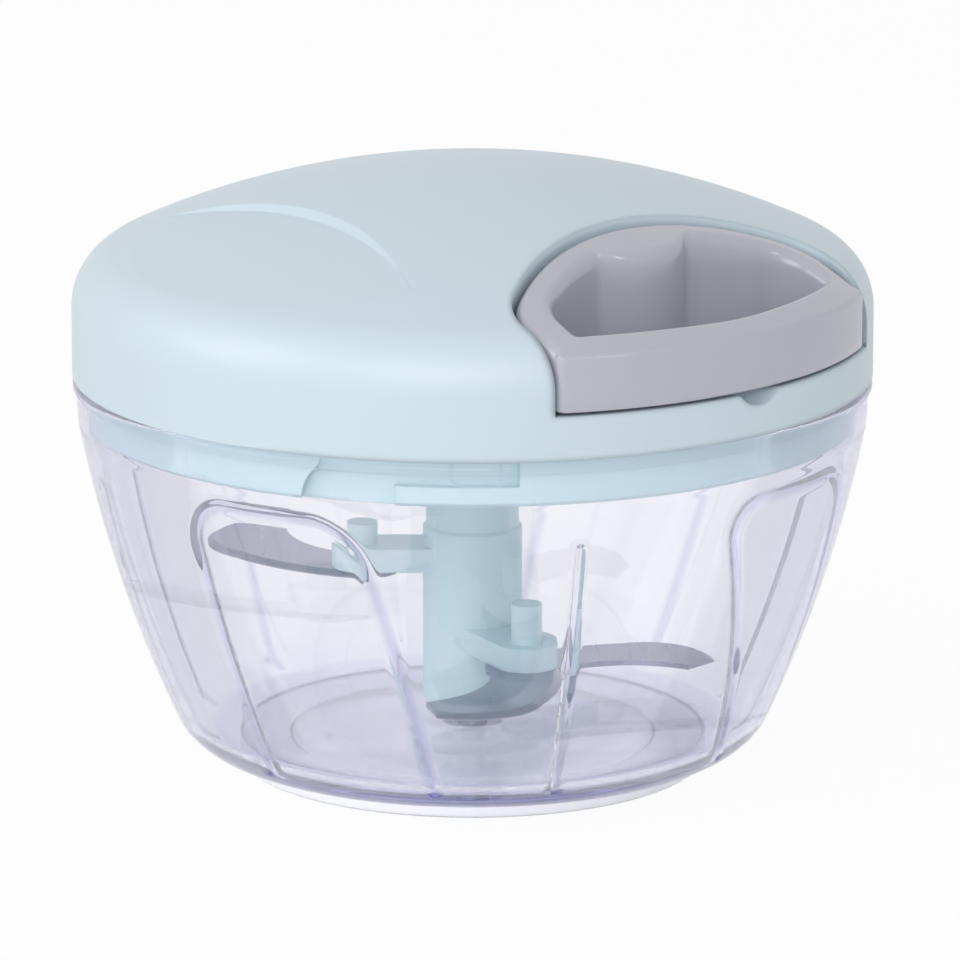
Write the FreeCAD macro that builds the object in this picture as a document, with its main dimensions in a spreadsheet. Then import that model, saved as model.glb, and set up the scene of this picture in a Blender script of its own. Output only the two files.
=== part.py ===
import FreeCAD
import Part
import math
import os
import re
import Sketcher
from FreeCAD import Placement, Rotation, Vector

# Hand chopper with a pull string: clear bowl, lid with reel and handle, three-blade unit.
# Millimetres, +Z up, origin at the centre of the foot ring's underside, photographed front towards -Y.

sizes = {
    # Bowl, measured up from the table
    "footGap": 2.6,            # height of the bowl's underside
    "bowlFootRadius": 38.9,    # flat of the underside
    "wallFootRadius": 48.8,    # where the rounded foot turns into the wall
    "wallFootHeight": 9.0,
    "wallBow": 212.0,          # radius of the wall's outward bow
    "rimHeight": 65.0,
    "rimInset": 0.1,           # rim inside the lid's radius
    "rimWall": 2.9,
    "rimBead": 2.3,            # height of the bead round the rim
    "rimStep": 0.5,
    "rimRound": 0.4,
    "collarDrop": 7.5,         # top of the bowed wall under the rim
    "collarInset": 0.9,
    "collarLean": 0.3,
    "boreDraft": 0.1,
    "bowlWall": 2.2,
    "footSlope": 24.0,         # slope of the wall at its foot, degrees from vertical
    "floorThickness": 3.6,
    "hubRadius": 6.5,          # hub that holds the pin
    "hubRise": 2.8,
    "panelCount": 4,           # moulded arches round the wall, and as many ribs
    "panelAngle": -27.3,        # direction of one arch, degrees from +X
    "archHalfWidth": 17.3,
    "archDrop": 9.4,           # top of the arches under the rim
    "archCorner": 11.0,
    "beadWidth": 3.0,
    "beadHeight": 0.9,
    "ribWidth": 1.8,
    "ribDrop": 14.4,
    "ribHeight": 1.1,
    # Bayonet
    "lugCount": 3,
    "lugAngle": -89.5,          # direction of the lug that faces the front
    "lugLength": 8.6,
    "lugDepth": 3.6,
    "lugDrop": 2.3,            # middle of the lugs under the rim
    "lugReach": 1.9,           # how far a lug stands into the bore
    "lugRoot": 1.0,
    "lugGap": 0.3,
    "lugHeadroom": 0.2,
    "entryWidth": 14.5,        # mouth of the slot in the skirt
    "entryOffset": 19.7,       # mouth's middle from the lug
    "entryArc": 7.25,          # rounded lead at the mouth's far side
    "entryLead": 7.25,
    "stopGap": 2.4,            # play between the lug and the slot's end
    # Foot pad and pin
    "padRim": 30.0,            # inside of the rim that the pad stands on
    "padOuter": 38.4,
    "padHollow": 0.8,
    "padRound": 1.2,
    "lipInner": 32.0,
    "lipOuter": 36.0,
    "lipDepth": 1.8,           # lip in the bowl's groove
    "pinRadius": 2.0,
    "pinSeatFloor": 1.6,       # plastic under the pin
    "pinLength": 23.7,
    # Lid
    "lidRadius": 65.0,
    "lidRise": 33.6,           # crown above the bowl's rim
    "domeRadius": 138.8,
    "lidCorner": 10.2,
    "lidWall": 2.2,
    "seamGap": 0.15,           # gap between the lid's edge and the rim
    "sealRoom": 1.0,           # base plate above the rim
    "sealThickness": 0.9,
    "sealWidth": 2.25,
    "plateThickness": 1.8,
    "plateGap": 0.1,
    "rabbetWall": 1.15,        # lid's wall round the plate
    "skirtGap": 0.6,
    "skirtWall": 2.6,
    "skirtDepth": 7.6,
    "skirtLead": 0.5,
    "slotDepth": 1.6,          # slot in the skirt for the lug
    "scallopReach": 30.7,      # crease of the grip scallop from the axis
    "scallopArc": 193.2,       # radius of the crease
    "scallopFlare": 0.6,       # outward lean of the scallop's edge
    "scallopEdgeDrop": 3.5,
    "scallopLow": 24.6,
    "scallopHigh": 7.4,
    "scallopAngle": -143.0,
    "scallopBow": 187.0,
    "scallopShift": 8.35,
    "scallopDrop": 0.62,
    # Screws
    "screwCount": 4,
    "screwAngle": 44.0,
    "screwInset": 15.0,
    "screwRadius": 1.2,
    "screwSlack": 0.15,
    "screwHead": 2.4,
    "screwHeadHeight": 1.6,
    "screwLength": 5.4,
    "screwTipGap": 0.3,
    "postRadius": 3.4,
    # Handle and its recess; depths are measured in from the lid's edge along the pull
    "pullAngle": -46.0,        # direction in which the handle pulls out
    "bandHeight": 7.05,        # recess floor above the lid's edge
    "recessFloorWall": 3.0,
    "recessWall": 2.0,
    "handleLift": 0.8,
    "handleGap": 0.7,          # play round the handle in its recess
    "handleSink": 0.7,         # handle's top under the lid's
    "handleCorner": 3.0,
    "handleRound": 1.4,
    "handleDepth": 32.0,
    "handleBackArc": 58.0,
    "shoulderDepth": 23.8,     # where the rear arc meets the side
    "shoulderHalf": 30.0,
    "shoulderArc": 9.0,
    "sideDepth": 18.6,
    "sideHalf": 34.0,
    "mouthHalf": 34.7,
    "fingerWall": 5.9,
    "fingerBackArc": 46.0,
    "fingerCornerDepth": 22.4,
    "fingerCornerHalf": 22.0,
    "fingerCornerArc": 7.5,
    "fingerSideDepth": 17.0,
    "fingerSideHalf": 27.6,
    "fingerMouthHalf": 28.0,
    "fingerMouthRound": 1.5,
    "frontBar": 5.2,           # thickness of the bar that the fingers hold
    "bossHalf": 9.5,           # string boss in the finger hole
    "bossArc": 13.8,
    "notchRadius": 5.4,
    "notchDepth": 2.0,
    # String, knot and guide
    "stringRadius": 0.9,
    "stringHole": 1.3,
    "knotInset": 5.2,
    "knotRadius": 2.2,
    "knotPocket": 2.6,
    "knotHeadroom": 3.1,
    "plugHeight": 4.2,
    "guideRadius": 2.4,
    "guideFlange": 3.6,
    "guideFlangeThickness": 0.8,
    "stringBend": 2.0,
    # Reel
    "bushInner": 5.05,
    "bushOuter": 6.2,
    "tubeOuter": 8.2,
    "tubeHeight": 8.2,
    "bushFlange": 7.8,
    "bushFlangeThickness": 0.8,
    "hubClearance": 0.05,
    "reelRadius": 19.5,
    "reelWall": 1.5,
    "reelFloorGap": 1.4,
    "webThickness": 1.6,
    "reelPlay": 0.3,
    "drumRadius": 9.5,
    "drumHeight": 4.8,
    "flangeRadius": 17.0,
    "flangeThickness": 1.4,
    "coverThickness": 0.8,
    "coverInner": 8.9,
    "woundRadius": 11.3,       # outside of the wound string, inner turns
    "woundGap": 0.3,
    "woundRound": 0.4,
    "springInner": 8.7,
    "springPitch": 1.25,
    "springThickness": 0.5,
    "springTurnCount": 7,
    "springGap": 0.6,
    "stemFlats": 5.6,          # hexagonal stem, across flats
    "stemGap": 0.1,
    "stemShort": 4.9,          # stem's end under the reel's top
    "reelScrewRadius": 1.25,
    "reelScrewLength": 13.7,
    "reelScrewHead": 3.2,
    "reelScrewCrown": 1.9,
    "reelScrewHeadHeight": 1.8,
    "reelScrewEdge": 1.1,
    "washerRadius": 6.0,
    "washerThickness": 0.8,
    # Dog coupling between reel and blade unit
    "socketPlay": 0.4,
    "socketGap": 0.8,
    "socketWall": 1.2,
    "socketDepth": 7.8,
    "socketRoof": 1.7,
    "socketDogHalf": 25.0,     # half angle of the socket's dogs
    "columnDogHalf": 40.0,     # half angle of the column's dogs
    "dogCore": 3.0,
    "dogHeight": 4.4,
    "dogGap": 0.5,
    "dogRoot": 0.3,
    # Blade unit
    "columnRadius": 8.1,
    "columnNeck": 7.6,
    "neckLength": 19.5,
    "columnStand": 1.0,
    "columnEdge": 0.5,
    "columnBushRadius": 4.0,
    "bushStand": 0.3,
    "pinHeadroom": 0.1,
    "pinClearance": 0.05,
    "armReach": 18.0,
    "armRoot": 5.0,
    "armWidth": 10.0,
    "armThickness": 3.9,
    "postPinRadius": 2.5,
    "bladeThickness": 0.9,
    "bladeBevel": 1.3,
    "bladeBevelDepth": 0.7,
    "stakeRadius": 1.4,
    "stakeGap": 0.1,
    "stakeHead": 2.6,
    "stakeHeadHeight": 0.8,
    "upperRise": 22.2,         # underside of the arm above the column's foot
    "upperPost": 3.5,
    "upperAngle": 180.0,
    "upperGap": 10.3,          # blade's tip inside the wall's foot
    "upperGrowth": 1.15,       # the upper blade is longer than the others
    "middleRise": 9.6,
    "middlePost": 6.5,
    "middleAngle": -61.0,
    "middleGap": 13.0,
    "middleGrowth": 1.0,
    "lowerRise": 1.7,
    "lowerPost": 3.5,
    "lowerAngle": 60.0,
    "lowerGap": 13.0,
    "lowerGrowth": 1.0,
    "rootAhead": 5.4,          # blade's width at its stake, ahead and behind
    "rootBehind": 6.8,
    "elbowAhead": 0.8,         # elbow, where the long cutting edge turns into the tip
    "elbowSide": 7.4,
    "edgeArc": 36.0,
    "tipSide": 26.2,
    "tipArc": 11.8,
    "heelBehind": 6.5,
    "heelSide": 24.6,
    "innerArc": 17.6,
}

doc = FreeCAD.newDocument("FoodChopper")
sheet = doc.addObject("Spreadsheet::Sheet", "Sizes")
for row, (name, size) in enumerate(sizes.items(), 1):
    sheet.set(f"A{row}", name)
    sheet.set(f"B{row}", str(size))
    sheet.setAlias(f"B{row}", name)
doc.recompute()

# Heights and radii that several pieces share.
deg = "* 1deg"
over = 1                     # how far a cutting tool reaches past what it cuts
floorTop = "(footGap + floorThickness)"
hubTop = f"({floorTop} + hubRise)"
pinSeat = "(footGap + pinSeatFloor)"
pinTop = f"({pinSeat} + pinLength)"
rimRadius = "(lidRadius - rimInset)"
rimInner = f"({rimRadius} - rimWall)"
skirtRadius = f"({rimInner} - skirtGap)"
lugHeight = "(rimHeight - lugDrop)"
lidEdge = "(rimHeight + seamGap)"
lidHeight = "(rimHeight + lidRise)"
domeCentre = f"({lidHeight} - domeRadius)"
plateUnder = "(rimHeight + sealRoom)"
plateTop = f"({plateUnder} + plateThickness)"
plateRadius = "(lidRadius - rabbetWall - plateGap)"
screwCircle = "(lidRadius - screwInset)"
recessFloor = f"({lidEdge} + bandHeight)"
handleBottom = f"({recessFloor} + handleLift)"
handleBack = "(lidRadius - handleDepth)"
recessBack = f"({handleBack} - handleGap)"
knotPlace = f"({handleBack} + knotInset)"
tubeTop = f"({plateTop} + tubeHeight)"
cupBottom = f"({plateTop} + reelFloorGap)"
webUnder = f"({tubeTop} + bushFlangeThickness + reelPlay)"
webTop = f"({webUnder} + webThickness)"
drumTop = f"({webTop} + drumHeight)"
reelTop = f"({drumTop} + flangeThickness)"
stringHeight = f"({webTop} + drumHeight / 2)"
windingRadius = "(woundRadius + woundGap + stringRadius)"
socketTop = f"({plateUnder} - socketPlay)"
socketRoofUnder = f"({socketTop} - socketRoof)"
socketInner = "(columnNeck + socketGap)"
socketRadius = f"({socketInner} + socketWall)"
columnBottom = f"({hubTop} + columnStand)"
dogTop = f"({socketRoofUnder} - dogGap)"
columnTop = f"({dogTop} - dogHeight)"
bushBottom = f"({hubTop} + bushStand)"
bushTop = f"({pinTop} + pinHeadroom)"


def bound(text):
    # Puts the sheet's name before every size in an expression.
    return re.sub(r"[A-Za-z]+", lambda m: "Sizes." + m.group() if m.group() in sizes else m.group(), text)


def number(text):
    return float(sheet.evalExpression(bound(text)))


def tie(thing, **properties):
    for name, text in properties.items():
        thing.setExpression(name.replace("_", "."), bound(text))


def add(kind, label, **properties):
    thing = doc.addObject(kind, label)
    thing.Label = label
    tie(thing, **properties)
    return thing


def body(label, turn=None):
    # A body, turned about the upright axis where its piece faces one way.
    thing = add("PartDesign::Body", label)
    if turn:
        thing.Placement = Placement(Vector(0, 0, 0), Rotation(Vector(0, 0, 1), 1))
        tie(thing, Placement_Rotation_Angle=turn)
    return thing


def origin(owner, role):
    return [o for o in owner.Origin.OriginFeatures if o.Role == role][0]


def sketch(owner, plane, rise="0"):
    thing = owner.newObject("Sketcher::SketchObject", owner.Label + "Sketch")
    thing.AttachmentSupport = [(origin(owner, plane), "")]
    thing.MapMode = "FlatFace"
    if rise != "0":
        tie(thing, AttachmentOffset_Base_z=rise)
    return thing


def pin_point(drawing, geo, end, x, y):
    # Ties one end of a drawn edge to its two sizes.
    for kind, axis, text in (("DistanceX", -2, x), ("DistanceY", -1, y)):
        if text == "0":
            drawing.addConstraint(Sketcher.Constraint("PointOnObject", geo, end, axis))
            continue
        index = drawing.addConstraint(Sketcher.Constraint(kind, -1, 1, geo, end, number(text)))
        drawing.setExpression(f"Constraints[{index}]", bound(text))


def outline(drawing, points):
    # Closed outline through points (x, y) or (x, y, radius): a radius makes the edge to the next
    # point an arc, positive where the arc's centre lies on the left of the way.
    spots = [Vector(number(p[0]), number(p[1]), 0) for p in points]
    edges = []
    for i, point in enumerate(points):
        a = spots[i]
        b = spots[(i + 1) % len(points)]
        if len(point) == 2:
            edges.append((drawing.addGeometry(Part.LineSegment(a, b)), 1, 2))
            continue
        radius = number(point[2])
        way = b - a
        left = Vector(-way.y, way.x, 0).normalize()
        side = 1 if radius > 0 else -1
        middle = (a + b) * 0.5 + left * side * math.sqrt(max(radius**2 - way.Length**2 / 4, 0))
        first, last = (a, b) if side > 0 else (b, a)
        start = math.atan2(first.y - middle.y, first.x - middle.x)
        stop = math.atan2(last.y - middle.y, last.x - middle.x)
        circle = Part.Circle(middle, Vector(0, 0, 1), abs(radius))
        geo = drawing.addGeometry(Part.ArcOfCircle(circle, start, stop))
        edges.append((geo, 1, 2) if side > 0 else (geo, 2, 1))
        index = drawing.addConstraint(Sketcher.Constraint("Radius", geo, abs(radius)))
        drawing.setExpression(f"Constraints[{index}]", bound(f"abs({point[2]})"))
    for i, point in enumerate(points):
        geo, first, _ = edges[i]
        before, _, last = edges[i - 1]
        drawing.addConstraint(Sketcher.Constraint("Coincident", before, last, geo, first))
        pin_point(drawing, geo, first, point[0], point[1])


def disc(drawing, radius, x="0", y="0"):
    spot = Vector(number(x), number(y), 0)
    geo = drawing.addGeometry(Part.Circle(spot, Vector(0, 0, 1), number(radius)))
    index = drawing.addConstraint(Sketcher.Constraint("Radius", geo, number(radius)))
    drawing.setExpression(f"Constraints[{index}]", bound(radius))
    pin_point(drawing, geo, 3, x, y)


def revolve(owner, points):
    drawing = sketch(owner, "XZ_Plane")
    outline(drawing, points)
    turned = owner.newObject("PartDesign::Revolution", owner.Label + "Turned")
    turned.Profile = drawing
    turned.ReferenceAxis = (drawing, ["V_Axis"])
    turned.Angle = 360
    return turned


def pad(owner, drawing, length, down=False):
    block = owner.newObject("PartDesign::Pad", owner.Label + "Pad")
    block.Profile = drawing
    block.Reversed = down
    tie(block, Length=length)
    return block


def pocket(owner, drawing, depth, up=True):
    # Cuts from the sketch upwards, or downwards.
    cut = owner.newObject("PartDesign::Pocket", owner.Label + "Pocket")
    cut.Profile = drawing
    cut.Reversed = up
    tie(cut, Length=depth)
    return cut


def around(owner, feature, count):
    ring = owner.newObject("PartDesign::PolarPattern", owner.Label + "Around")
    ring.Originals = [feature]
    ring.Axis = (origin(owner, "Z_Axis"), [""])
    ring.Angle = 360
    tie(ring, Occurrences=count)
    owner.Tip = ring
    return ring


def turned_piece(label, points, turn=None):
    owner = body(label, turn)
    revolve(owner, points)
    return owner


def cut(label, base, tool):
    thing = add("Part::Cut", label)
    thing.Base = base
    thing.Tool = tool
    return thing


def fuse(label, *shapes):
    thing = add("Part::MultiFuse", label)
    thing.Shapes = list(shapes)
    return thing


# Bowl

innerFoot = f"(wallFootRadius - bowlWall * cos(footSlope {deg}))"
innerFootHeight = f"(wallFootHeight + bowlWall * sin(footSlope {deg}))"
innerFootArc = f"(({innerFootHeight} - {floorTop}) / (1 - sin(footSlope {deg})))"
floorRadius = f"({innerFoot} - {innerFootArc} * cos(footSlope {deg}))"
outerFootArc = f"((wallFootHeight - footGap) / (1 - sin(footSlope {deg})))"


def bowl_cavity(label, inset):
    # The hollow of the bowl, drawn in by inset from the wall and the floor's rounding.
    return turned_piece(label, [
        ("0", hubTop),
        ("hubRadius", hubTop),
        ("hubRadius", floorTop),
        (f"{floorRadius} - {inset}", floorTop, innerFootArc),
        (f"{innerFoot} - {inset}", innerFootHeight, "wallBow - bowlWall"),
        (f"{rimInner} - boreDraft - {inset}", "rimHeight - collarDrop"),
        (rimInner, "rimHeight"),
        ("0", "rimHeight"),
    ])


def wall_blocks(label, turn, count, *outlines):
    # Upright blocks through the wall, each drawn flat and as long as the bowl is deep there.
    owner = body(label, turn)
    drawing = sketch(owner, "XZ_Plane", "bowlFootRadius / 2")
    for points in outlines:
        outline(drawing, points)
    around(owner, pad(owner, drawing, f"{rimInner} - bowlFootRadius / 2"), count)
    return owner


def arch_outline(inset):
    half = f"(archHalfWidth - {inset})"
    top = f"(rimHeight - archDrop - {inset})"
    shoulder = "(rimHeight - archDrop - archCorner)"
    return [
        (f"-{half}", f"footGap + {inset}"),
        (half, f"footGap + {inset}"),
        (half, shoulder, f"archCorner - {inset}"),
        ("archHalfWidth - archCorner", top),
        ("archCorner - archHalfWidth", top, f"archCorner - {inset}"),
        (f"-{half}", shoulder),
    ]


def make_bowl():
    form = turned_piece("bowlForm", [
        ("0", "footGap"),
        ("lipInner", "footGap"),
        ("lipInner", "footGap + lipDepth"),
        ("lipOuter", "footGap + lipDepth"),
        ("lipOuter", "footGap"),
        ("bowlFootRadius", "footGap", outerFootArc),
        ("wallFootRadius", "wallFootHeight", "wallBow"),
        ("lidRadius - collarInset", "rimHeight - collarDrop"),
        ("lidRadius - collarInset + collarLean", "rimHeight - rimBead"),
        (rimRadius, "rimHeight - rimBead + rimStep"),
        (rimRadius, "rimHeight - rimRound"),
        (f"{rimRadius} - rimRound", "rimHeight"),
        ("0", "rimHeight"),
    ])
    cavity = bowl_cavity("bowlCavity", "0")
    arches = wall_blocks("archBlocks", "panelAngle + 90", "panelCount",
                         arch_outline("0"), arch_outline("beadWidth"))
    beads = cut("archBeads", arches, bowl_cavity("beadCavity", "beadHeight"))
    ribs = wall_blocks("ribBlocks", "panelAngle + 90 + 180 / panelCount", "panelCount", [
        ("-ribWidth / 2", "footGap"),
        ("ribWidth / 2", "footGap"),
        ("ribWidth / 2", "rimHeight - ribDrop"),
        ("-ribWidth / 2", "rimHeight - ribDrop"),
    ])
    ridges = cut("ribRidges", ribs, bowl_cavity("ribCavity", "ribHeight"))
    lugs = body("lugBlocks", "lugAngle + 90")
    drawing = sketch(lugs, "XZ_Plane", f"{rimInner} - lugReach")
    flat = "(lugLength / 2 - lugDepth / 2)"
    outline(drawing, [
        (f"-{flat}", f"{lugHeight} - lugDepth / 2"),
        (flat, f"{lugHeight} - lugDepth / 2", "lugDepth / 2"),
        ("lugLength / 2", lugHeight, "lugDepth / 2"),
        (flat, f"{lugHeight} + lugDepth / 2"),
        (f"-{flat}", f"{lugHeight} + lugDepth / 2", "lugDepth / 2"),
        ("-lugLength / 2", lugHeight, "lugDepth / 2"),
    ])
    around(lugs, pad(lugs, drawing, "lugReach + lugRoot"), "lugCount")
    hollow = cut("bowlHollow", cavity, fuse("bowlRelief", beads, ridges, lugs))
    hole = turned_piece("pinSeatHole", [
        ("0", pinSeat),
        ("pinRadius", pinSeat),
        ("pinRadius", f"{hubTop} + {over}"),
        ("0", f"{hubTop} + {over}"),
    ])
    return cut("bowl", form, fuse("bowlCut", hollow, hole))


def make_base_pad():
    return turned_piece("base_pad", [
        ("0", "padHollow"),
        ("padRim", "padHollow"),
        ("padRim + padHollow", "0"),
        ("padOuter - padRound", "0", "padRound"),
        ("padOuter", "padRound"),
        ("padOuter", "footGap"),
        ("lipOuter", "footGap"),
        ("lipOuter", "footGap + lipDepth"),
        ("lipInner", "footGap + lipDepth"),
        ("lipInner", "footGap"),
        ("0", "footGap"),
    ])


def make_spindle_pin():
    return turned_piece("spindle_pin", [
        ("0", pinSeat),
        ("pinRadius", pinSeat),
        ("pinRadius", f"{pinTop} - pinRadius", "pinRadius"),
        ("0", pinTop),
    ])


# Lid

def dome_corner(corner, sink):
    # Centre of the rounded corner between the upright wall and a dome that lies sink under the lid's,
    # and the two ends of that corner's way over the dome.
    out = f"(lidRadius - {corner})"
    reach = f"(domeRadius - {sink} - {corner})"
    up = f"({domeCentre} + sqrt({reach}^2 - {out}^2))"
    return out, up, reach


def dome_profile(corner, sink, inset):
    # Wall's top, corner and dome, drawn in by inset; the wall's foot comes before them.
    out, up, reach = dome_corner(corner, sink)
    return [
        (f"lidRadius - {inset}", up, f"{corner} - {inset}"),
        (f"{out} + ({corner} - {inset}) * {out} / {reach}",
         f"{up} + ({corner} - {inset}) * ({up} - {domeCentre}) / {reach}",
         f"domeRadius - {sink} - {inset}"),
        ("0", f"{lidHeight} - {sink} - {inset}"),
    ]


def handle_outline(drawing, grow):
    # Plan of the handle, or of its recess when grown; x is the way the handle pulls out.
    far = f"lidRadius + lidWall"
    out = f"lidRadius - shoulderDepth - {grow} * 0.8"
    side = f"shoulderHalf + {grow} * 0.6"
    outline(drawing, [
        (out, f"-({side})", f"shoulderArc + {grow}"),
        ("lidRadius - sideDepth", f"-sideHalf - {grow}"),
        ("lidRadius", f"-mouthHalf - {grow}"),
        (far, f"-mouthHalf - {grow}"),
        (far, f"mouthHalf + {grow}"),
        ("lidRadius", f"mouthHalf + {grow}"),
        ("lidRadius - sideDepth", f"sideHalf + {grow}", f"shoulderArc + {grow}"),
        (out, side, f"handleBackArc + {grow}"),
        (f"{handleBack} - {grow}", "0", f"handleBackArc + {grow}"),
    ])


def outer_edges(shape):
    # Names of the edges between the domed top and the handle's own side walls, round the outside.
    names = []
    rim = number("lidRadius")
    bar = number("lidRadius - frontBar / 2")
    side = number("(fingerMouthHalf + sideHalf) / 2")
    rear = number(f"{handleBack} + fingerWall / 2")
    for i, edge in enumerate(shape.Edges, 1):
        spot = edge.CenterOfMass
        if math.hypot(spot.x, spot.y) < bar and abs(spot.y) < side and spot.x > rear:
            continue
        surfaces = [face.Surface for face in shape.ancestorsOfType(edge, Part.Face)]
        top = [s for s in surfaces if isinstance(s, (Part.Sphere, Part.Toroid))]
        walls = [s for s in surfaces if isinstance(s, Part.Plane)
                 or isinstance(s, Part.Cylinder) and s.Radius < rim - over]
        if top and walls:
            names.append(f"Edge{i}")
    return names


def make_lid_shell():
    outer = body("lidOuter", "pullAngle")
    revolve(outer, [("0", lidEdge), ("lidRadius", lidEdge)] + dome_profile("lidCorner", "0", "0"))
    drawing = sketch(outer, "XY_Plane", recessFloor)
    handle_outline(drawing, "handleGap")
    pocket(outer, drawing, "lidRise")
    inner = turned_piece("lidInner", [
        ("0", lidEdge),
        ("lidRadius - rabbetWall", lidEdge),
        ("lidRadius - rabbetWall", plateTop),
        ("lidRadius - lidWall", plateTop),
    ] + dome_profile("lidCorner", "0", "lidWall"))
    bucket = body("recessBlock", "pullAngle")
    drawing = sketch(bucket, "XY_Plane", f"{recessFloor} - recessFloorWall")
    handle_outline(drawing, "(handleGap + recessWall)")
    pad(bucket, drawing, "lidRise")
    posts = body("postBlocks", "screwAngle")
    drawing = sketch(posts, "XY_Plane", plateTop)
    disc(drawing, "postRadius", screwCircle)
    around(posts, pad(posts, drawing, "lidRise"), "screwCount")
    hollow = cut("lidHollow", inner, fuse("lidSolids", bucket, posts))
    notch = add("Part::Sphere", "notchBall",
                Radius="notchRadius",
                Placement_Base_x=f"lidRadius * cos(pullAngle {deg})",
                Placement_Base_y=f"lidRadius * sin(pullAngle {deg})",
                Placement_Base_z=f"{recessFloor} + notchRadius - notchDepth")
    guide = body("guideHole", "pullAngle")
    drawing = sketch(guide, "YZ_Plane", f"{recessBack} - 2 * recessWall")
    disc(drawing, "guideRadius", "0", stringHeight)
    pad(guide, drawing, "3 * recessWall")
    holes = body("postHoles", "screwAngle")
    drawing = sketch(holes, "XY_Plane", f"{plateTop} - {over}")
    disc(drawing, "screwRadius", screwCircle)
    around(holes, pad(holes, drawing, f"screwLength + screwTipGap - plateThickness + {over}"), "screwCount")
    cone = add("Part::Cone", "scallopCone",
               Radius1="scallopArc - scallopFlare * (scallopLow - scallopEdgeDrop)",
               Radius2="scallopArc + scallopFlare * (scallopHigh + scallopEdgeDrop)",
               Height="scallopLow + scallopHigh",
               Placement_Base_x=f"(scallopReach + scallopArc) * cos(scallopAngle {deg})",
               Placement_Base_y=f"(scallopReach + scallopArc) * sin(scallopAngle {deg})",
               Placement_Base_z=f"{lidHeight} - scallopLow")
    ball = add("Part::Sphere", "scallopBall",
               Radius="scallopBow",
               Placement_Base_x=f"-scallopShift * cos(scallopAngle {deg})",
               Placement_Base_y=f"-scallopShift * sin(scallopAngle {deg})",
               Placement_Base_z=f"{lidHeight} - scallopDrop - scallopBow")
    scallop = cut("scallopCut", cone, ball)
    return cut("lid_shell", outer, fuse("lidCuts", hollow, notch, guide, holes, scallop))


def make_lid_base():
    skirtInner = f"({skirtRadius} - skirtWall)"
    skirtBottom = "(rimHeight - skirtDepth)"
    form = turned_piece("lidBaseForm", [
        ("bushOuter", plateUnder),
        (skirtInner, plateUnder),
        (skirtInner, skirtBottom),
        (f"{skirtRadius} - skirtLead", skirtBottom),
        (skirtRadius, f"{skirtBottom} + skirtLead"),
        (skirtRadius, plateUnder),
        (plateRadius, plateUnder),
        (plateRadius, plateTop),
        ("tubeOuter", plateTop),
        ("tubeOuter", tubeTop),
        ("bushOuter", tubeTop),
    ])
    slots = body("slotBlocks", "lugAngle + 90")
    drawing = sketch(slots, "XZ_Plane", f"{skirtRadius} / 2")
    slotFloor = f"({lugHeight} - lugDepth / 2 - lugGap)"
    slotRoof = f"({lugHeight} + lugDepth / 2 + lugHeadroom)"
    mouth = "(-entryOffset - entryWidth / 2)"
    outline(drawing, [
        (mouth, f"{skirtBottom} - {over}"),
        ("-entryOffset + entryWidth / 2", f"{skirtBottom} - {over}"),
        ("-entryOffset + entryWidth / 2", slotFloor),
        ("lugLength / 2 + stopGap", slotFloor),
        ("lugLength / 2 + stopGap", slotRoof),
        (f"{mouth} + entryLead", slotRoof, "entryArc"),
        (mouth, skirtBottom),
    ])
    around(slots, pad(slots, drawing, skirtRadius), "lugCount")
    core = add("Part::Cylinder", "slotCore", Radius=f"{skirtRadius} - slotDepth", Height="rimHeight")
    slotCut = cut("slotCut", slots, core)
    holes = body("plateHoles", "screwAngle")
    drawing = sketch(holes, "XY_Plane", f"{plateUnder} - {over}")
    disc(drawing, "screwRadius + screwSlack", screwCircle)
    around(holes, pad(holes, drawing, f"plateThickness + 2 * {over}"), "screwCount")
    return cut("lid_base", form, fuse("lidBaseCuts", slotCut, holes))


def make_lid_seal():
    return turned_piece("lid_seal", [
        (f"{plateRadius} - sealWidth", f"{plateUnder} - sealThickness"),
        (plateRadius, f"{plateUnder} - sealThickness"),
        (plateRadius, plateUnder),
        (f"{plateRadius} - sealWidth", plateUnder),
    ])


def make_lid_screws():
    owner = body("lid_screws", "screwAngle")
    drawing = sketch(owner, "XY_Plane", f"{plateUnder} - screwHeadHeight")
    disc(drawing, "screwHead", screwCircle)
    heads = pad(owner, drawing, "screwHeadHeight")
    drawing = sketch(owner, "XY_Plane", plateUnder)
    disc(drawing, "screwRadius", screwCircle)
    shanks = pad(owner, drawing, "screwLength")
    ring = around(owner, heads, "screwCount")
    ring.Originals = [heads, shanks]
    return owner


def make_string_guide():
    owner = body("string_guide", "pullAngle")
    for start, length, outer in ((f"{recessBack} - recessWall", "recessWall", "guideRadius"),
                                 (f"{recessBack} - recessWall - guideFlangeThickness",
                                  "guideFlangeThickness", "guideFlange")):
        drawing = sketch(owner, "YZ_Plane", start)
        disc(drawing, outer, "0", stringHeight)
        disc(drawing, "stringHole", "0", stringHeight)
        pad(owner, drawing, length)
    return owner


def make_axle_bush():
    return turned_piece("axle_bush", [
        ("bushInner", plateUnder),
        ("bushOuter", plateUnder),
        ("bushOuter", tubeTop),
        ("bushFlange", tubeTop),
        ("bushFlange", f"{tubeTop} + bushFlangeThickness"),
        ("bushInner", f"{tubeTop} + bushFlangeThickness"),
    ])


# Handle

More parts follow.
